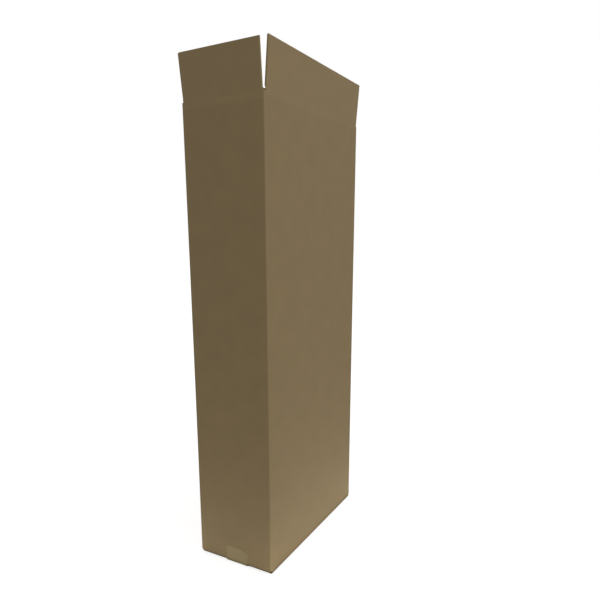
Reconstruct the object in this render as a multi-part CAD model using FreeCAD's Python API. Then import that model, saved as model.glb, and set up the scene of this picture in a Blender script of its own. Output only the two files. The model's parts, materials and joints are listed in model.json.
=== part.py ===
import FreeCAD
import Part
import math
import os
from collections import namedtuple
from FreeCAD import Vector

# A tall, narrow slotted carton of single-wall corrugated board, set up and standing open. One sheet
# is cut and creased, wrapped into four walls and glued to itself at one corner. The four lower
# flaps are folded shut and held by one strip of tape. The four upper flaps stand up and lean out.
#
# Millimetres, +Z up. X runs along the wide walls and Y along the narrow ones. The origin is on the
# floor, under the middle of the box. The front and back walls are the wide ones, at -Y and +Y; the
# left and right walls are the narrow ones, at -X and +X.

# The box, outside
length = 362.0
width = 162.0
height = 830.0           # from the floor to the upper creases of the narrow walls
seam_gap = 2.0           # between the free edges of the two lower wide flaps
upper_flap = 73.5        # from crease to cut edge; shorter than the lower flaps
slot = 9.0               # cut between neighbouring flaps, centred on each corner of the box
slot_overcut = 1.0       # how far a slot runs past the narrow walls' crease
slot_end_radius = 2.5

# The board: two flat liners with a wavy medium glued between them
board = 3.0
liner = 0.3
medium = 0.25
flute_length = 6.5       # along the board, from one arch to the next
flute_facets = 6         # flat strips along each arch of the medium
flute_edge_margin = 1.0  # closed strip left at each end of a row of flutes
crushed_zone = 2.0       # flattened board above a crease, where the flutes are closed

# Folds and creases
fold_radius = 2.5        # outside of a sharp fold
fold_inner_radius = 0.8
crease_gap = 0.35        # from a flap's turning line down to the wall, and up to the flap
pivot_out = 0.15         # a flap's turning line lies this far outside the wall
layer_gap = 0.3          # air between two flaps folded over each other

# How far each upper flap leans outwards, in degrees
lean_front = 4.7
lean_back = 5.5
lean_left = 5.0
lean_right = 6.0

# The glued joint, at the corner between the right and back walls
tab_width = 35.0
tab_end_setback = 14.0   # the tab stops short of the creases
tab_taper = 9.0          # its ends slope back by this much
panel_setback = 0.6      # the back wall's cut edge stops short of the corner

# The tape along the bottom seam
tape_width = 48.0
tape = 0.1
tape_offset = -4.5       # it was laid a little off the middle
tape_rise = 33.0         # how high it runs up each narrow wall
tape_end_slope = 2.0     # drop of its left end's edge towards the back
tape_corner_drop = 6.0   # the torn corner of its left end
tape_corner_width = 16.0
tape_fold_clearance = 0.05

# Worked out from the sizes above
lower_flap = (width - seam_gap) / 2
wide_bottom = tape
narrow_bottom = wide_bottom + board + layer_gap
narrow_crease = height
wide_crease = narrow_crease + board + layer_gap
slot_floor = narrow_crease - slot_overcut
bottom_slot_end = narrow_bottom + slot_overcut
bend_top = narrow_bottom + 3 * fold_radius
beyond = 5.0             # how far cutting tools run past the board

Side = namedtuple("Side", "turn span distance bottom crease lean")
sides = {
    "front": Side(0, length, width / 2, wide_bottom, wide_crease, lean_front),
    "right": Side(90, width, length / 2, narrow_bottom, narrow_crease, lean_right),
    "back": Side(180, length, width / 2, wide_bottom, wide_crease, lean_back),
    "left": Side(270, width, length / 2, narrow_bottom, narrow_crease, lean_left),
}


def block(low, high):
    """A box between two opposite corners."""
    return Part.makeBox(high[0] - low[0], high[1] - low[1], high[2] - low[2], Vector(*low))


def prism(corners, sweep):
    """A flat outline through the corner points, swept along a vector."""
    outline = Part.makePolygon(corners + corners[:1])
    return Part.Face(outline).extrude(sweep)


def across(side, points):
    """An outline of (y, z) points, swept along the flap of a side drawn as the front one."""
    half = (side.span - slot) / 2
    corners = [Vector(-half, y, z) for y, z in points]
    return prism(corners, Vector(2 * half, 0, 0))


def put_on(side, shape):
    """Turn a shape drawn on the front round to its own side."""
    turned = shape.copy()
    turned.rotate(Vector(0, 0, 0), Vector(0, 0, 1), side.turn)
    return turned


def edges_on(shape, **place):
    """The edges that lie wholly at the given coordinates, such as x=10, z=0."""
    def lies_there(vertex):
        return all(abs(getattr(vertex.Point, axis) - value) < 1e-6 for axis, value in place.items())
    return [edge for edge in shape.Edges if all(lies_there(vertex) for vertex in edge.Vertexes)]


def upright_edges(shape, x, y, radius):
    """The shape with its upright edge at (x, y) rounded."""
    return shape.makeFillet(radius, edges_on(shape, x=x, y=y))


def wall_tube():
    """The four walls as a square tube, with rounded folds at the three corners that are folded."""
    outside = block((-length / 2, -width / 2, wide_bottom), (length / 2, width / 2, wide_crease))
    inner_x = length / 2 - board
    inner_y = width / 2 - board
    inside = block((-inner_x, -inner_y, wide_bottom), (inner_x, inner_y, wide_crease))
    for toward_x, toward_y in ((-1, -1), (1, -1), (-1, 1)):
        outside = upright_edges(outside, toward_x * length / 2, toward_y * width / 2, fold_radius)
        inside = upright_edges(inside, toward_x * inner_x, toward_y * inner_y, fold_inner_radius)
    return outside.cut(inside)


def glue_tab():
    """The sloping-ended tab that the right wall carries, glued to the inside of the back wall."""
    outer_y = width / 2 - board
    root = length / 2 - board
    tip = length / 2 - tab_width
    low = narrow_bottom + tab_end_setback
    high = narrow_crease - tab_end_setback
    corners = [
        Vector(root, outer_y, low),
        Vector(tip, outer_y, low + tab_taper),
        Vector(tip, outer_y, high - tab_taper),
        Vector(root, outer_y, high),
    ]
    tab = prism(corners, Vector(0, -board, 0))
    return tab


def joint_groove():
    """What is missing at the glued corner: the hollow beside the right wall's fold and the cut edge."""
    outer_y = width / 2 - board
    fold_x = length / 2 - fold_radius
    fold_y = outer_y - fold_radius
    low = wide_bottom - beyond
    high = wide_crease + beyond
    hollow = block((fold_x, fold_y, low), (length / 2 + beyond, outer_y, high))
    fold = Part.makeCylinder(fold_radius, high - low, Vector(fold_x, fold_y, low))
    edge = block((length / 2 - panel_setback, outer_y, low), (length / 2 + beyond, width / 2 + beyond, high))
    return hollow.cut(fold).fuse(edge)


def crease_cut(side):
    """What is cut off above a wall, down to the sloping face under its upper crease."""
    outer = -side.distance
    start = side.crease - crease_gap
    top = wide_crease + beyond
    reach = board + liner
    return across(side, [
        (outer - liner, start + liner),
        (outer + reach, start - reach),
        (outer + reach, top),
        (outer - liner, top),
    ])


def corner_slots():
    """The slots at the four corners, above the walls and below them, with rounded ends."""
    tools = []
    slot_x = (length - slot) / 2
    slot_y = (width - slot) / 2
    out_x = length / 2 + beyond
    out_y = width / 2 + beyond
    for end, far in ((slot_floor, wide_crease + beyond), (bottom_slot_end, wide_bottom - beyond)):
        tool = block((slot_x, slot_y, min(end, far)), (out_x, out_y, max(end, far)))
        tool = tool.makeFillet(slot_end_radius, edges_on(tool, x=slot_x, z=end))
        mirrored = tool.mirror(Vector(0, 0, 0), Vector(1, 0, 0))
        for half in (tool, mirrored):
            tools.append(half)
            tools.append(half.mirror(Vector(0, 0, 0), Vector(0, 1, 0)))
    return tools


def wall_foot(side):
    """The foot of a wall that the folded flap replaces."""
    outer = -side.distance
    return across(side, [
        (outer - beyond, wide_bottom - beyond),
        (outer + board, wide_bottom - beyond),
        (outer + board, bend_top),
        (outer - beyond, bend_top),
    ])


def folded_flap(side):
    """A lower flap, folded in under the box, with the foot of its wall."""
    outer = -side.distance
    low = side.bottom
    bend = across(side, [
        (outer, low),
        (outer + lower_flap, low),
        (outer + lower_flap, low + board),
        (outer + board, low + board),
        (outer + board, bend_top),
        (outer, bend_top),
    ])
    bend = bend.makeFillet(fold_radius, edges_on(bend, y=outer, z=low))
    return bend.makeFillet(fold_inner_radius, edges_on(bend, y=outer + board, z=low + board))


def box_body():
    """The folded sheet without its upper flaps: four walls, the glued joint and the lower flaps."""
    body = wall_tube().fuse(glue_tab()).cut(joint_groove())
    body = body.cut([put_on(side, wall_foot(side)) for side in sides.values()])
    body = body.fuse([put_on(side, folded_flap(side)) for side in sides.values()])
    body = body.cut([put_on(side, crease_cut(side)) for side in sides.values()])
    body = body.cut(corner_slots())
    return body.removeSplitter()


def flute_outline():
    """One hollow beside an arch of the medium: (distance along, depth in the board) points."""
    swing = board / 2 - liner - medium / 2
    steepest = swing * 2 * math.pi / flute_length
    start = math.pi / (flute_facets + 3)
    points = []
    for step in range(flute_facets + 1):
        phase = start + step * 2 * (math.pi - start) / flute_facets
        half_sheet = medium / 2 * math.hypot(1, steepest * math.sin(phase))
        depth = board / 2 - swing * math.cos(phase) - half_sheet
        if step in (0, flute_facets):
            depth = liner
        points.append((phase / (2 * math.pi) * flute_length, depth))
    return points


def flute_row(side, low, high):
    """The hollows between liners and medium along a flap drawn upright on the front."""
    outer = -side.distance
    row = side.span - slot - 2 * flute_edge_margin
    flutes = int(row / flute_length - 0.5)
    start = -(flutes + 0.5) * flute_length / 2
    rise = Vector(0, 0, high - low)
    outline = flute_outline()
    hollows = []
    for flute in range(flutes):
        x = start + flute * flute_length
        behind_outer = [Vector(x + along, outer + depth, low) for along, depth in outline]
        x += flute_length / 2
        behind_inner = [Vector(x + along, outer + board - depth, low) for along, depth in outline]
        hollows.append(prism(behind_outer, rise))
        hollows.append(prism(behind_inner, rise))
    return Part.makeCompound(hollows)


def top_flap(side):
    """An upper flap with open flutes along its cut edge, leaning out about its crease."""
    outer = -side.distance
    start = side.crease + crease_gap
    top = side.crease + upper_flap
    plate = across(side, [
        (outer, start),
        (outer, top),
        (outer + board, top),
        (outer + board, start + board),
    ])
    shape = plate.cut(flute_row(side, start + board + crushed_zone, top + beyond))
    shape.rotate(Vector(0, outer - pivot_out, side.crease), Vector(1, 0, 0), side.lean)
    return put_on(side, shape)


def tape_profile():
    """The right half of the tape's run, as (x, z) points: its inside, from the seam to its end."""
    flap_end = (length - slot) / 2
    fold_x = length / 2 - fold_radius
    fold_z = narrow_bottom + fold_radius
    rise_x = fold_x - flap_end
    rise_z = fold_z - wide_bottom
    to_fold = math.atan2(rise_z, rise_x)
    clear = fold_radius + tape_fold_clearance
    slope = to_fold - math.asin(clear / math.hypot(rise_x, rise_z))
    corner_z = wide_bottom + (length / 2 - flap_end) * math.tan(slope)
    return [(0, wide_bottom), (flap_end, wide_bottom), (length / 2, corner_z), (length / 2, tape_rise)]


def outward(points, distance):
    """The same run of points, moved out by a distance, to the right of its direction."""
    moved = []
    headings = []
    for (x0, z0), (x1, z1) in zip(points, points[1:]):
        headings.append(math.atan2(z1 - z0, x1 - x0))
    for index, (x, z) in enumerate(points):
        before = headings[max(index - 1, 0)]
        after = headings[min(index, len(headings) - 1)]
        middle = (before + after) / 2 - math.pi / 2
        stretch = distance / math.cos((after - before) / 2)
        moved.append((x + stretch * math.cos(middle), z + stretch * math.sin(middle)))
    return moved


def tape_end_trim():
    """What is torn off above the tape's left end."""
    front = tape_offset - tape_width / 2
    back = tape_offset + tape_width / 2
    corner = front + tape_corner_width
    high = tape_rise + beyond
    x = -length / 2 - beyond
    points = [
        (front - beyond, high),
        (front - beyond, tape_rise - tape_corner_drop),
        (front, tape_rise - tape_corner_drop),
        (corner, tape_rise),
        (back, tape_rise - tape_end_slope),
        (back + beyond, tape_rise - tape_end_slope),
        (back + beyond, high),
    ]
    return prism([Vector(x, y, z) for y, z in points], Vector(2 * beyond, 0, 0))


def bottom_tape():
    """The strip along the bottom seam, up over the folds and onto both narrow walls."""
    inside = tape_profile()
    outside = outward(inside, tape)
    front = tape_offset - tape_width / 2
    corners = [Vector(x, front, z) for x, z in inside + outside[::-1]]
    half = prism(corners, Vector(0, tape_width, 0))
    strip = half.fuse(half.mirror(Vector(0, 0, 0), Vector(1, 0, 0)))
    return strip.cut(tape_end_trim()).removeSplitter()


parts = {
    "box_body": box_body(),
    "top_flap_front": top_flap(sides["front"]),
    "top_flap_back": top_flap(sides["back"]),
    "top_flap_left": top_flap(sides["left"]),
    "top_flap_right": top_flap(sides["right"]),
    "bottom_tape": bottom_tape(),
}

os.makedirs("parts", exist_ok=True)
for name, shape in parts.items():
    shape.exportStep(os.path.join("parts", name + ".step"))
    box = shape.BoundBox
    print(name, "solids", len(shape.Solids), "valid", shape.isValid(),
          "volume cm3", round(shape.Volume / 1000, 2), "faces", len(shape.Faces),
          "x", round(box.XMin, 2), round(box.XMax, 2), "y", round(box.YMin, 2), round(box.YMax, 2),
          "z", round(box.ZMin, 2), round(box.ZMax, 2))
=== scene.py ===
import json
import math

import bmesh
import bpy
from mathutils import Matrix, Vector


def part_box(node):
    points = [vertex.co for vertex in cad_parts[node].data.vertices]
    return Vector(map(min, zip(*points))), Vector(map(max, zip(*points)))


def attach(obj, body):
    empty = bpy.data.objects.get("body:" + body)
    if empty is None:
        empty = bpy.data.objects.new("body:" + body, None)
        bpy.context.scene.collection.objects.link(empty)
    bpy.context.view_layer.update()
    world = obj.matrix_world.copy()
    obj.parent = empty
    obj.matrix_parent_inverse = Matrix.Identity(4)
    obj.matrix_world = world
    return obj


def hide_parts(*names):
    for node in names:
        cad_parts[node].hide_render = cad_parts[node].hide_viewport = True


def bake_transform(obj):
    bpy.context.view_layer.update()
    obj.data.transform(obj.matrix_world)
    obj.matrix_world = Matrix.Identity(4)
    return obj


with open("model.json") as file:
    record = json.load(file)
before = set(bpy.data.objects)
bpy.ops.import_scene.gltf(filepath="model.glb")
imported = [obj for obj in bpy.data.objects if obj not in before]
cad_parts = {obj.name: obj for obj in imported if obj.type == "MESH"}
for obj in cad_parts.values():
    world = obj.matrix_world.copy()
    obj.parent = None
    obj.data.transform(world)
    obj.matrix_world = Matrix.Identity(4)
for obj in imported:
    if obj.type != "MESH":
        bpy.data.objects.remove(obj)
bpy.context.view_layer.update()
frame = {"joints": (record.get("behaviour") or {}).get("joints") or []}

# The kraft liner: the brown paper on both faces of the board. It is machine-made, so its fibres lie
# level around the box, and the upright flutes under it show faintly through.
mm = 0.001
flute_pitch = 6.5 * mm
kraft_brown = (0.226, 0.161, 0.076)
kraft_worn = (0.300, 0.220, 0.115)
kraft_fleck = (0.120, 0.082, 0.036)
paper_level = 0.85            # the darkest the paper gets, before these three add to it
mottle_gain = 0.16
fibre_gain = 0.12
flute_gain = 0.02
fleck_share = 0.35            # how strongly flecks show
worn_share = 0.30             # how strongly rubbed places show
mottle_count = (26, 26, 1)    # how many to the metre, along the walls and up them
fibre_count = (120, 1300, 1)
fleck_count = (420, 900, 1)
fleck_limits = (0.70, 0.76)   # flecks lie where the noise is above these
liner_roughness = (0.74, 0.90)


def new_material(name):
    """A material with its node tree and its shader."""
    material = bpy.data.materials.new(name)
    material.use_nodes = True
    return material, material.node_tree, material.node_tree.nodes["Principled BSDF"]


def add_node(tree, kind, inputs=None, **settings):
    """Add a shader node. Each input is given a plain value, or another node's output to read."""
    node = tree.nodes.new("ShaderNode" + kind)
    for name, value in settings.items():
        setattr(node, name, value)
    for name, value in (inputs or {}).items():
        if isinstance(value, bpy.types.NodeSocket):
            tree.links.new(value, node.inputs[name])
        else:
            node.inputs[name].default_value = value
    return node


def noise(tree, where, stretch, detail=3.0):
    """Noise on coordinates in metres, with about so many features to the metre each way."""
    scaled = add_node(tree, "Mapping", {"Vector": where, "Scale": stretch})
    grain = add_node(tree, "TexNoise", {"Vector": scaled.outputs[0], "Scale": 1.0, "Detail": detail})
    return grain.outputs["Fac"]


def weighed(tree, value, gain, total):
    """The total so far, plus a value between 0 and 1 times its gain."""
    return add_node(tree, "Math", {0: value, 1: gain, 2: total}, operation="MULTIPLY_ADD").outputs[0]


def ramp(tree, value, low, high, least=0.0, most=1.0):
    """A value from low to high, turned into one from least to most and held there beyond."""
    inputs = {"Value": value, "From Min": low, "From Max": high, "To Min": least, "To Max": most}
    return add_node(tree, "MapRange", inputs).outputs[0]


def mixed(tree, share, first, second):
    """The first colour, with a share of the second."""
    node = add_node(tree, "Mix", {0: share, 6: first, 7: second}, data_type="RGBA")
    return node.outputs[2]


def kraft_liner():
    material, tree, shader = new_material("kraft_liner")
    where = add_node(tree, "UVMap", uv_map="sheet").outputs[0]
    mottle = noise(tree, where, mottle_count, 4)
    fibres = noise(tree, where, fibre_count, 5)
    flute_waves = add_node(
        tree, "TexWave", {"Vector": where, "Scale": math.pi / 10 / flute_pitch}, bands_direction="X"
    ).outputs["Fac"]
    flecks = ramp(tree, noise(tree, where, fleck_count, 1), *fleck_limits)
    worn = add_node(tree, "Attribute", attribute_name="wear").outputs["Fac"]
    level = weighed(tree, mottle, mottle_gain, paper_level)
    level = weighed(tree, fibres, fibre_gain, level)
    level = weighed(tree, flute_waves, flute_gain, level)
    paper = add_node(tree, "HueSaturation", {"Value": level, "Color": (*kraft_brown, 1)}).outputs[0]
    paper = mixed(tree, ramp(tree, flecks, 0, 1, 0, fleck_share), paper, (*kraft_fleck, 1))
    paper = mixed(tree, ramp(tree, worn, 0, 1, 0, worn_share), paper, (*kraft_worn, 1))
    tree.links.new(paper, shader.inputs["Base Color"])
    tree.links.new(ramp(tree, fibres, 0.2, 0.8, *liner_roughness), shader.inputs["Roughness"])
    shader.inputs["Specular IOR Level"].default_value = 0.35
    height = weighed(tree, fibres, 0.35, weighed(tree, flute_waves, 0.6, 0.0))
    bump = add_node(tree, "Bump", {"Height": height, "Strength": 0.5, "Distance": 0.05 * mm})
    tree.links.new(bump.outputs[0], shader.inputs["Normal"])
    return material


kraft = kraft_liner()


# The cut edge of the board, where knives went through: torn fibres, paler and rougher than the liner.
# Between the two liners' edges lies the fluted paper. Its kraft colour is painted darker, as painted
# shade for the hollow it lies in.
def cut_paper(name, colour, spread):
    material, tree, shader = new_material(name)
    where = add_node(tree, "UVMap", uv_map="sheet").outputs[0]
    fuzz = noise(tree, where, (900, 900, 900), 4)
    level = weighed(tree, fuzz, spread, 1 - spread / 2)
    paper = add_node(tree, "HueSaturation", {"Value": level, "Color": (*colour, 1)}).outputs[0]
    tree.links.new(paper, shader.inputs["Base Color"])
    shader.inputs["Roughness"].default_value = 0.95
    shader.inputs["Specular IOR Level"].default_value = 0.2
    bump = add_node(tree, "Bump", {"Height": fuzz, "Strength": 0.7, "Distance": 0.1 * mm})
    tree.links.new(bump.outputs[0], shader.inputs["Normal"])
    return material


cut_edge = cut_paper("cut_edge", colour=(0.270, 0.196, 0.098), spread=0.35)
# The fluted paper's colour is darker than its own kraft: painted shade for the hollow between the liners.
fluted_paper = cut_paper("fluted_paper", colour=(0.190, 0.135, 0.064), spread=0.25)

# The folded sheet: single-wall board, 3 mm thick. One strip is creased into four walls and a glue
# tab, wrapped round and glued inside one corner. Its lower flaps are folded in under it, the narrow
# pair first and the wide pair over them.
board = 3.0 * mm
liner = 0.3 * mm
layer_gap = 0.3 * mm          # air between two flaps folded over each other
body_low, body_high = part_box("box_body")
length = body_high.x - body_low.x
width = body_high.y - body_low.y
folds = {joint["child"]: joint for joint in frame["joints"]}
wide_crease = folds["front_flap"]["pos_m"][2]
narrow_crease = folds["left_flap"]["pos_m"][2]
wide_bottom = body_low.z
narrow_bottom = wide_bottom + board + layer_gap
slot = 9.0 * mm
slot_overcut = 1.0 * mm
lower_flap = width / 2 - 1.0 * mm     # the wide pair nearly meets
fold_radius = 3.2 * mm
fold_steps = 4
flap_root = 8.0 * mm          # the upper flaps' pieces begin this far below their creases
tab_width = 35.0 * mm
tab_setback = 14.0 * mm
tab_taper = 9.0 * mm
glue_line = 0.1 * mm
panel_setback = 0.6 * mm      # the back wall's end stops short of the glued corner
wall_squeeze = 0.7 * mm       # how far the narrow walls stand in, half way up
wall_bulge = 0.9 * mm         # how far the wide walls stand out there
bow_column = 40.0 * mm        # the walls are cut this finely, so that they can bow
bow_row = 50.0 * mm
edge_recess = 0.8 * mm        # how deep the middle of a cut edge is sunk
side_shift = 150 * flute_pitch          # from one wall's part of the sheet's map to the next
facet_bends = (0.25, 0.7)     # in radians, between the facets of a rounded fold
cut_bend = 1.2                # in radians, the least at a cut edge
smooth_angle = math.radians(32)         # more than a fold's facets turn, and less than a cut edge
front, right, back, left = range(4)


def select_only(piece):
    """Select one piece alone and make it the active one."""
    bpy.ops.object.select_all(action="DESELECT")
    piece.select_set(True)
    bpy.context.view_layer.objects.active = piece


def edit(piece):
    """Open one piece alone in edit mode, with nothing selected in it."""
    select_only(piece)
    bpy.ops.object.mode_set(mode="EDIT")
    bpy.ops.mesh.select_all(action="DESELECT")


def leave_edit():
    bpy.ops.object.mode_set(mode="OBJECT")


def pick(piece, kind, test):
    """In edit mode, select the vertices, edges or faces that pass a test."""
    bpy.ops.mesh.select_mode(type=kind)
    bpy.ops.mesh.select_all(action="DESELECT")
    mesh = bmesh.from_edit_mesh(piece.data)
    for item in {"VERT": mesh.verts, "EDGE": mesh.edges, "FACE": mesh.faces}[kind]:
        if test(item):
            item.select_set(True)
    mesh.select_flush_mode()
    bmesh.update_edit_mesh(piece.data)


def near(value, place):
    return abs(value - place) < 0.01 * mm


def middle(item):
    """The middle of an edge or a face."""
    return sum((vertex.co for vertex in item.verts), Vector()) / len(item.verts)


def cut_across(axis, places):
    """In edit mode, cut new lines through the whole piece where it crosses planes."""
    normal = {"X": (1, 0, 0), "Y": (0, 1, 0), "Z": (0, 0, 1)}[axis]
    for place in places:
        bpy.ops.mesh.select_all(action="SELECT")
        bpy.ops.mesh.bisect(plane_co=[place * part for part in normal], plane_no=normal)


def draw_out(piece, edge_test, move):
    """In edit mode, extrude the edges that pass a test by a vector."""
    pick(piece, "EDGE", edge_test)
    bpy.ops.mesh.extrude_edges_move(TRANSFORM_OT_translate={"value": move})


def apply_modifier(piece, kind, **settings):
    """Add a modifier with its settings and apply it."""
    select_only(piece)
    modifier = piece.modifiers.new(kind.lower(), kind)
    for name, value in settings.items():
        setattr(modifier, name, value)
    bpy.ops.object.modifier_apply(modifier=modifier.name)


def stretched(name, across, along):
    """The unit square just added, named and stretched to its two sizes."""
    sheet = bpy.context.object
    sheet.name = name
    sheet.scale = (across, along, 1)
    bpy.ops.object.transform_apply(location=True, rotation=True, scale=True)
    return sheet


def upright_sheet(name, across, low, high, y):
    """A flat vertical sheet in a plane of constant y, facing the front, from x to x and z to z."""
    bpy.ops.object.select_all(action="DESELECT")
    place = ((across[0] + across[1]) / 2, y, (low + high) / 2)
    bpy.ops.mesh.primitive_plane_add(size=1, location=place, rotation=(math.pi / 2, 0, 0))
    return stretched(name, across[1] - across[0], high - low)


def board_finish(piece):
    """The liner on the faces, the cut edge, and the fluted paper in it with its painted shade, in this
    order.
    """
    for finish in (kraft, cut_edge, fluted_paper):
        piece.data.materials.append(finish)


def lies_flat(normal):
    """True for the faces that look up or down, as on the lower flaps."""
    return abs(normal.z) > 0.7


def side_of(point, normal):
    """Which wall of the box a point belongs to, by its place."""
    if lies_flat(normal):
        across_ends = length / 2 - abs(point.x) < width / 2 and point.z > narrow_bottom - 0.2 * mm
        return (left if point.x < 0 else right) if across_ends else (front if point.y < 0 else back)
    if abs(normal.x) > abs(normal.y):
        return left if point.x < 0 else right
    return front if point.y < 0 else back


def lay_out(piece):
    """Give a piece its map as a flat sheet: metres along the walls, and metres up."""
    sheet_map = piece.data.uv_layers.new(name="sheet")
    for face in piece.data.polygons:
        side = side_of(face.center, face.normal)
        for corner in face.loop_indices:
            point = piece.data.vertices[piece.data.loops[corner].vertex_index].co
            along = {front: point.x, right: point.y, back: -point.x, left: -point.y}[side]
            inward = {front: width / 2 + point.y, right: length / 2 - point.x,
                      back: width / 2 - point.y, left: length / 2 + point.x}[side]
            rise = -inward if lies_flat(face.normal) else point.z
            sheet_map.data[corner].uv = (along + side_shift * side, rise)


def note_wear(piece):
    """Mark how rubbed each point is: most on the rounded folds, less on cut edges."""
    mesh = bmesh.new()
    mesh.from_mesh(piece.data)
    rubbed = []
    for vertex in mesh.verts:
        bends = [edge.calc_face_angle(0) for edge in vertex.link_edges]
        rounded = any(facet_bends[0] < bend < facet_bends[1] for bend in bends)
        rubbed.append(1.0 if rounded else 0.5 * any(bend > cut_bend for bend in bends))
    mesh.free()
    wear = piece.data.attributes.new("wear", "FLOAT", "POINT")
    wear.data.foreach_set("value", rubbed)


def smooth(piece):
    """Shade the rounded folds smooth, and leave the cut edges sharp."""
    select_only(piece)
    bpy.ops.object.shade_smooth_by_angle(angle=smooth_angle)


wide_start = wide_bottom + fold_radius        # where the walls begin to turn under
narrow_start = narrow_bottom + fold_radius
lower_slot_end = narrow_start
slot_floor = narrow_crease - slot_overcut
tab_low = narrow_bottom + tab_setback
tab_high = narrow_crease - tab_setback
tab_y = width / 2 - board - glue_line
tab_tip = length / 2 - tab_width


def wall_strip():
    """The strip of walls and tab, drawn out panel by panel from the front wall both ways round."""
    strip = upright_sheet("box_sheet", (-length / 2, length / 2), wide_start, slot_floor, -width / 2)
    edit(strip)
    draw_out(strip, lambda e: near(middle(e).x, -length / 2), (0, width, 0))
    draw_out(strip, lambda e: near(middle(e).y, width / 2), (length - panel_setback, 0, 0))
    draw_out(strip, lambda e: near(middle(e).x, length / 2), (0, tab_y + width / 2, 0))
    draw_out(strip, lambda e: near(middle(e).y, tab_y), (-tab_width, 0, 0))
    leave_edit()
    return strip


def on_tab(point):
    return near(point.y, tab_y) and point.x < length / 2 - 0.5 * mm


def on_wide(point):
    return near(abs(point.y), width / 2)


def between_slots(point):
    if on_wide(point):
        return abs(point.x) < (length - slot) / 2
    return abs(point.y) < (width - slot) / 2


def cut_away(face):
    """True for the parts of the strip that the slots, creases and tab ends cut off."""
    point = middle(face)
    if on_tab(point):
        return not tab_low < point.z < tab_high
    if not between_slots(point):
        return point.z < lower_slot_end
    if on_wide(point):
        return point.z > wide_crease - flap_root
    return point.z > narrow_crease - flap_root or point.z < narrow_start


def cut_and_slot(strip):
    """Cut the strip to its outline, with a few lines more where it is to bow."""
    edit(strip)
    slot_x = (length - slot) / 2
    slot_y = (width - slot) / 2
    cut_across("X", [-slot_x, slot_x] + [step * bow_column for step in range(-4, 5)])
    cut_across("Y", [-slot_y, slot_y] + [step * bow_column for step in range(-1, 2)])
    cut_across("Z", [lower_slot_end, narrow_start, tab_low, tab_high])
    cut_across("Z", [narrow_crease - flap_root, wide_crease - flap_root])
    cut_across("Z", [step * bow_row for step in range(1, 16)])
    pick(strip, "FACE", cut_away)
    bpy.ops.mesh.delete(type="FACE")
    for end, slope in ((tab_low, tab_taper), (tab_high, -tab_taper)):
        pick(strip, "VERT", lambda v: near(v.co.x, tab_tip) and near(v.co.z, end) and on_tab(v.co))
        bpy.ops.transform.translate(value=(0, 0, slope))
    leave_edit()


def round_corners(strip):
    """Round the upright folds between the walls."""
    edit(strip)
    pick(strip, "EDGE", lambda e: len(e.link_faces) == 2 and e.calc_face_angle() > 1)
    bpy.ops.mesh.bevel(offset=fold_radius, segments=fold_steps, affect="EDGES")
    leave_edit()


def turn_under(strip, outward, distance, start):
    """Turn the lower edge of one wall under in a small round, and draw its lower flap on inwards."""
    edit(strip)
    pick(strip, "EDGE", lambda e: near(middle(e).dot(outward), distance) and near(middle(e).z, start)
         and len(e.link_faces) == 1 and between_slots(middle(e)))
    centre = outward * (distance - fold_radius) + Vector((0, 0, start))
    level_axis = Vector((0, 0, 1)).cross(outward)
    bpy.ops.mesh.spin(steps=fold_steps, angle=-math.pi / 2, center=centre, axis=level_axis)
    inward = -outward * (lower_flap - fold_radius)
    bpy.ops.mesh.extrude_edges_move(TRANSFORM_OT_translate={"value": inward})
    leave_edit()


def bow_walls(strip):
    """Let the walls bow a little, as tall ones do: the narrow ones in and the wide ones out."""
    for vertex in strip.data.vertices:
        point = vertex.co
        share = (point.z - narrow_bottom) / (narrow_crease - narrow_bottom)
        rise = math.sin(math.pi * min(max(share, 0), 1))
        out = math.cos(math.pi * point.x / length)
        point.x -= wall_squeeze * rise * point.x / (length / 2)
        point.y += wall_bulge * rise * out * point.y / (width / 2)


def at_glued_fold(point):
    """True at the ends of the fold beside the tab, where the cut edge is too narrow to sink."""
    return point.x > tab_tip and abs(point.y - tab_y) < 1.5 * fold_radius


def recess_edges(piece):
    """Sink the middle of the cut edges, so that the edges of the two liners stand proud of it."""
    edit(piece)
    pick(piece, "FACE", lambda f: f.material_index == 1 and not at_glued_fold(middle(f)))
    bpy.ops.mesh.inset(thickness=liner, depth=-edge_recess, use_even_offset=True)
    # The sunk middle takes the fluted paper's darker colour: painted shade.
    piece.active_material_index = 2
    bpy.ops.object.material_slot_assign()
    leave_edit()


sheet = wall_strip()
round_corners(sheet)
cut_and_slot(sheet)
for outward, distance, start in (
    (Vector((0, -1, 0)), width / 2, wide_start),
    (Vector((0, 1, 0)), width / 2, wide_start),
    (Vector((-1, 0, 0)), length / 2, narrow_start),
    (Vector((1, 0, 0)), length / 2, narrow_start),
):
    turn_under(sheet, outward, distance, start)
bow_walls(sheet)
board_finish(sheet)
apply_modifier(
    sheet, "SOLIDIFY", thickness=board, offset=-1, use_even_offset=True, material_offset_rim=1
)
recess_edges(sheet)
lay_out(sheet)
note_wear(sheet)
smooth(sheet)
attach(sheet, "carton")
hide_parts("box_body")

# The tape: thin tan film with a soft gloss, pressed on along the bottom seam and up both narrow walls.
# It was torn off the roll, so its ends are ragged, and one end lost a corner.
tape_tan = (0.244, 0.181, 0.076)
tape_width = 48.0 * mm
tape_thickness = 0.1 * mm
tape_offset = -4.5 * mm
tape_rise = 33.0 * mm
torn_drop = 6.0 * mm          # the torn corner of the left end
torn_width = 16.0 * mm
tape_front = tape_offset - tape_width / 2
tape_turn = (length - slot) / 2
tape_corner = 2.1 * mm        # the film bridges the fold and meets the wall's face this high
tape_row = 3.0 * mm
tear_depth = 0.6 * mm         # the teeth of the torn ends reach about this far down
long_teeth = (0.35 * mm, 1.3 * mm)      # their height, and their width to the radian
short_teeth = (0.25 * mm, 0.47 * mm)
wrinkle_height = 0.22 * mm
wrinkle_top = 0.8 * tape_rise
wrinkle_slant = 9.0 * mm
wrinkle_turn = 31.0           # in radians over the tape's width
patch_turn = 11.0             # the same, for the patches that are wrinkled


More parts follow.
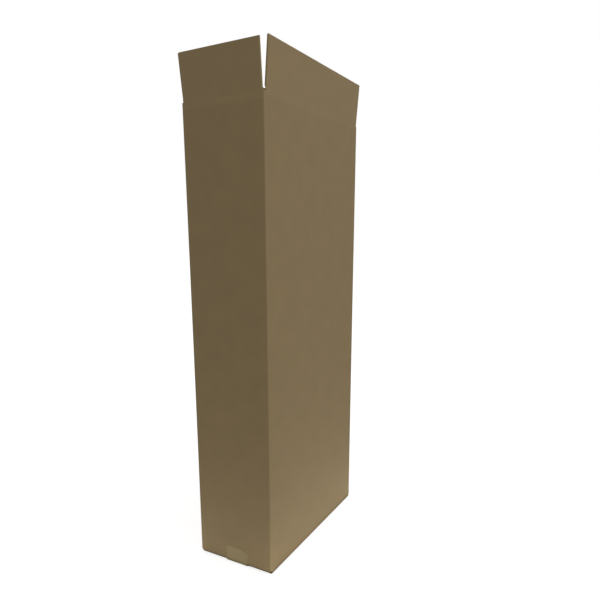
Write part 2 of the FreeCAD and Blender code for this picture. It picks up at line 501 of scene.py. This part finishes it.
def tape_film():
    material, tree, shader = new_material("tape_film")
    where = add_node(tree, "TexCoord").outputs["Object"]
    streaks = noise(tree, where, (30, 420, 30), 3)
    blotches = noise(tree, where, (60, 60, 60), 2)
    level = weighed(tree, blotches, 0.14, weighed(tree, streaks, 0.10, 0.88))
    film = add_node(tree, "HueSaturation", {"Value": level, "Color": (*tape_tan, 1)}).outputs[0]
    tree.links.new(film, shader.inputs["Base Color"])
    shader.inputs["Roughness"].default_value = 0.42
    shader.inputs["Specular IOR Level"].default_value = 0.4
    bump = add_node(tree, "Bump", {"Height": streaks, "Strength": 0.3, "Distance": 0.1 * mm})
    tree.links.new(bump.outputs[0], shader.inputs["Normal"])
    return material


def left_end_height(y):
    """How high the tape's torn left end reaches at a place across its width."""
    from_front = (y - tape_front) / torn_width
    return tape_rise - torn_drop * max(0.0, 1 - from_front)


def ragged(y):
    """A small unevenness of a torn edge."""
    long_high, long_wide = long_teeth
    short_high, short_wide = short_teeth
    return long_high * math.sin(y / long_wide) + short_high * math.sin(y / short_wide + 1)


def wrinkle(point):
    """How far the film stands off the wall: shallow upright wrinkles that run up from the fold."""
    across = (point.y - tape_front) / tape_width
    fade = max(0.0, 1 - (point.z - tape_corner) / wrinkle_top)
    waves = math.sin(across * wrinkle_turn + point.z / wrinkle_slant)
    patches = math.sin(across * patch_turn + 2)
    return wrinkle_height * fade * max(0.0, waves * patches)


def tape_strip():
    """The film, laid flat under the box and drawn out over each fold and up each narrow wall."""
    bpy.ops.object.select_all(action="DESELECT")
    place = (0, tape_offset, wide_bottom)
    bpy.ops.mesh.primitive_plane_add(size=1, location=place, rotation=(math.pi, 0, 0))
    strip = stretched("bottom_tape_film", 2 * tape_turn, tape_width)
    edit(strip)
    for side in (-1, 1):
        end = side * tape_turn
        draw_out(strip, lambda e: near(middle(e).x, end), (side * slot / 2, 0, tape_corner - wide_bottom))
        wall = side * length / 2
        draw_out(strip, lambda e: near(middle(e).x, wall), (0, 0, tape_rise - tape_corner))
    columns = round(tape_width / mm)
    rows = int((tape_rise - tape_corner) / tape_row)
    cut_across("Y", [tape_front + step * mm for step in range(1, columns)])
    cut_across("Z", [tape_corner + step * tape_row for step in range(1, rows + 1)])
    leave_edit()
    return strip


def press_on(strip):
    """Tear the ends, and wrinkle the film on the walls."""
    for vertex in strip.data.vertices:
        point = vertex.co
        if point.z < tape_corner + 0.1 * mm:
            continue
        end = left_end_height(point.y) if point.x < 0 else tape_rise
        high = end - tear_depth + ragged(point.y)
        share = (point.z - tape_corner) / (tape_rise - tape_corner)
        point.z = tape_corner + share * (high - tape_corner)
        point.x += math.copysign(wrinkle(point), point.x)


film = tape_strip()
press_on(film)
film.data.materials.append(tape_film())
apply_modifier(film, "SOLIDIFY", thickness=tape_thickness, offset=1)
smooth(film)
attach(film, "carton")
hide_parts("bottom_tape")

# The four upper flaps: the walls' own board, standing up past pressed creases and leaning out. Their
# free edges were cut through the flutes, so each is made of two liners and the wavy paper between.
medium = 0.25 * mm
wave_height = (board - 2 * liner - medium) / 2
wave_columns = 10             # how many steps draw one wave
flap_reach = 73.5 * mm
side_strip = 1.0 * mm         # the board is crushed shut this far in from a side cut along the flutes
press_half = 3.4 * mm         # half the width of the pressed band at a crease
press_share = 0.55            # how much of the board's thickness the press took in its middle
bend_half = 1.2 * mm          # the board bends over this far each side of the crease line
bend_rows = [-0.5 * bend_half, 0, 0.5 * bend_half, bend_half]
press_rows = [-0.8 * press_half, -bend_half, *bend_rows, 0.8 * press_half]
axis_out = 0.15 * mm          # the fold's axis lies this far outside the wall's face


def eased(share):
    """From 0 to 1 with a soft start and end."""
    return share * share * (3 - 2 * share)


def wavy_sheet(name, half, low, high, y):
    """The fluted paper as one sheet, with upright waves."""
    columns = round(2 * half / flute_pitch * wave_columns)
    bpy.ops.object.select_all(action="DESELECT")
    bpy.ops.mesh.primitive_grid_add(
        x_subdivisions=columns, y_subdivisions=1, size=1, location=(0, y, (low + high) / 2),
        rotation=(math.pi / 2, 0, 0)
    )
    sheet = stretched(name, 2 * half, high - low)
    for vertex in sheet.data.vertices:
        vertex.co.y = y + wave_height * math.sin(2 * math.pi * vertex.co.x / flute_pitch)
    return sheet


def flat_board(name, half, low, high, y):
    """A flat piece of board, facing the front with its outer face at y: two liners and the waves."""
    outer = upright_sheet(name, (-half, half), low, high, y)
    inner = upright_sheet(name + "_inner", (-half, half), low, high, y + board)
    waves = wavy_sheet(name + "_waves", half - side_strip, low, high, y + board / 2)
    first = upright_sheet(name + "_left_edge", (-half, side_strip - half), low, high, y + liner)
    last = upright_sheet(name + "_right_edge", (half - side_strip, half), low, high, y + liner)
    core = board - 2 * liner
    for part, offset, thickness in (
        (outer, -1, liner), (inner, 1, liner), (waves, 0, medium), (first, -1, core), (last, -1, core)
    ):
        # The waves and the crushed side strips take the fluted paper's darker colour: painted shade.
        for finish in (kraft if part in (outer, inner) else fluted_paper, cut_edge):
            part.data.materials.append(finish)
        apply_modifier(part, "SOLIDIFY", thickness=thickness, offset=offset, material_offset_rim=1)
    bpy.ops.object.select_all(action="DESELECT")
    for part in (waves, inner, first, last, outer):
        part.select_set(True)
    bpy.context.view_layer.objects.active = outer
    bpy.ops.object.join()
    return outer


def press_and_lean(flap, crease, y, lean):
    """Press the crease in from the inside, and lean what stands above it out about the fold's axis."""
    rows = sorted({crease - press_half, crease + press_half} | {crease + row for row in press_rows})
    edit(flap)
    cut_across("Z", rows)
    for row in rows[1:-1]:
        press = 1 - press_share * math.cos(math.pi * (row - crease) / press_half / 2) ** 2
        pick(flap, "VERT", lambda v: near(v.co.z, row))
        bpy.ops.transform.resize(value=(1, press, 1), center_override=(0, y, row))
    axis = (0, y - axis_out, crease)
    done = 1.0
    for row in reversed(bend_rows):
        before = eased((row - bend_rows[0]) / (2 * bend_half))
        pick(flap, "VERT", lambda v: v.co.z > crease + row - 0.1 * mm)
        bpy.ops.transform.rotate(value=-lean * (done - before), orient_axis="X", center_override=axis)
        done = before
    leave_edit()


def upper_flap(body, turn, span, distance):
    """One upper flap with the root of its wall, made at the front and then turned to its side."""
    fold = folds[body]
    crease = fold["pos_m"][2]
    lean = math.radians(-fold["range_deg"][0] - 90)
    half = (span - slot) / 2
    flap = flat_board(body + "_board", half, crease - flap_root, crease + flap_reach, -distance)
    press_and_lean(flap, crease, -distance, lean)
    flap.rotation_euler = (0, 0, turn * math.pi / 2)
    bpy.ops.object.transform_apply(location=False, rotation=True, scale=False)
    lay_out(flap)
    note_wear(flap)
    smooth(flap)
    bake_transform(flap)
    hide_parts({front: "top_flap_front", right: "top_flap_right",
                       back: "top_flap_back", left: "top_flap_left"}[turn])


upper_flap("front_flap", front, length, width / 2)
upper_flap("right_flap", right, width, length / 2)
upper_flap("back_flap", back, length, width / 2)
upper_flap("left_flap", left, width, length / 2)

# The stage: a pale floor that runs out of sight under an even white sky. Both look white to the
# camera, and light the object a little less than that. The floor keeps the object's soft shadow.
floor_side = 30.0
floor_grey = (0.6, 0.6, 0.6, 1)
floor_glow = 0.70
sky_light = 0.64
white = (1, 1, 1, 1)


def seen_or_not(tree, seen, unseen):
    """One shader for what the camera sees, and another for the light that falls on the object."""
    camera_ray = add_node(tree, "LightPath").outputs["Is Camera Ray"]
    return add_node(
        tree, "MixShader", {0: camera_ray, 1: unseen.outputs[0], 2: seen.outputs[0]}
    ).outputs[0]


def floor_paint():
    material, tree, _ = new_material("floor")
    tree.nodes.clear()
    plain = add_node(tree, "BsdfDiffuse", {"Color": floor_grey})
    glow = add_node(tree, "Emission", {"Color": white, "Strength": floor_glow})
    both = add_node(tree, "AddShader", {0: plain.outputs[0], 1: glow.outputs[0]})
    add_node(tree, "OutputMaterial", {"Surface": seen_or_not(tree, both, plain)})
    return material


def studio_sky():
    world = bpy.data.worlds.new("studio")
    world.use_nodes = True
    tree = world.node_tree
    tree.nodes.clear()
    soft = add_node(tree, "Background", {"Color": white, "Strength": sky_light})
    bright = add_node(tree, "Background", {"Color": white, "Strength": 1.0})
    add_node(tree, "OutputWorld", {"Surface": seen_or_not(tree, bright, soft)})
    return world


bpy.ops.object.select_all(action="DESELECT")
bpy.ops.mesh.primitive_plane_add(size=floor_side, location=(0, 0, 0))
floor = bpy.context.object
floor.name = "floor"
floor.data.materials.append(floor_paint())
bpy.context.scene.world = studio_sky()

# The lamps: one large soft lamp in front, and one lying on the floor beside each wall, for the light
# that a bright floor throws back up. The camera sees none of them.
floor_lamp_height = 0.003


def soft_lamp(name, place, aim, size, power):
    """A square lamp that shines from its place towards its aim."""
    bpy.ops.object.light_add(type="AREA", location=place)
    lamp = bpy.context.object
    lamp.name = name
    lamp.data.size = size
    lamp.data.energy = power
    lamp.rotation_euler = (Vector(aim) - Vector(place)).to_track_quat("-Z", "Y").to_euler()
    lamp.visible_camera = False
    return lamp


def floor_lamp(name, x, y, size_x, size_y, power):
    """A lamp lying on the floor beside a wall, shining straight up."""
    lamp = soft_lamp(name, (x, y, floor_lamp_height), (x, y, 1), size_x, power)
    lamp.rotation_euler = (math.pi, 0, 0)
    lamp.data.shape = "RECTANGLE"
    lamp.data.size_y = size_y


soft_lamp("key_lamp", place=(-0.2, -2.2, 1.3), aim=(0, 0, 0.2), size=1.6, power=15)
floor_lamp("front_floor_lamp", x=0, y=-0.21, size_x=0.52, size_y=0.25, power=0.38)
floor_lamp("back_floor_lamp", x=0, y=0.21, size_x=0.52, size_y=0.25, power=0.38)
floor_lamp("left_floor_lamp", x=-0.31, y=0, size_x=0.25, size_y=0.32, power=0.15)
floor_lamp("right_floor_lamp", x=0.31, y=0, size_x=0.25, size_y=0.32, power=0.15)

# The camera stands in front of the box's near corner and a little below its top, looking down. The
# photo may be a crop, so the lens's axis doesn't meet the middle of the frame.
camera_place = (-0.9492, -0.5528, 0.6187)
heading = math.radians(30.36)
pitch = math.radians(-12.94)
roll = math.radians(0.53)
frame_px = 600
focal_px = 549.5
axis_px = Vector((279.0, 358.1))      # where the lens's axis meets the frame, from its top left corner
middle_px = (frame_px - 1) / 2
level = math.cos(pitch)
forward = Vector((level * math.cos(heading), level * math.sin(heading), math.sin(pitch)))
turn = forward.to_track_quat("-Z", "Y").to_matrix() @ Matrix.Rotation(-roll, 3, "Z")
bpy.ops.object.camera_add(location=camera_place)
camera = bpy.context.object
camera.rotation_euler = turn.to_euler()
camera.data.sensor_width = 36
camera.data.lens = camera.data.sensor_width * focal_px / frame_px
camera.data.shift_x = (middle_px - axis_px.x) / frame_px
camera.data.shift_y = (axis_px.y - middle_px) / frame_px
bpy.context.scene.camera = camera
bpy.context.scene.view_settings.view_transform = "Standard"
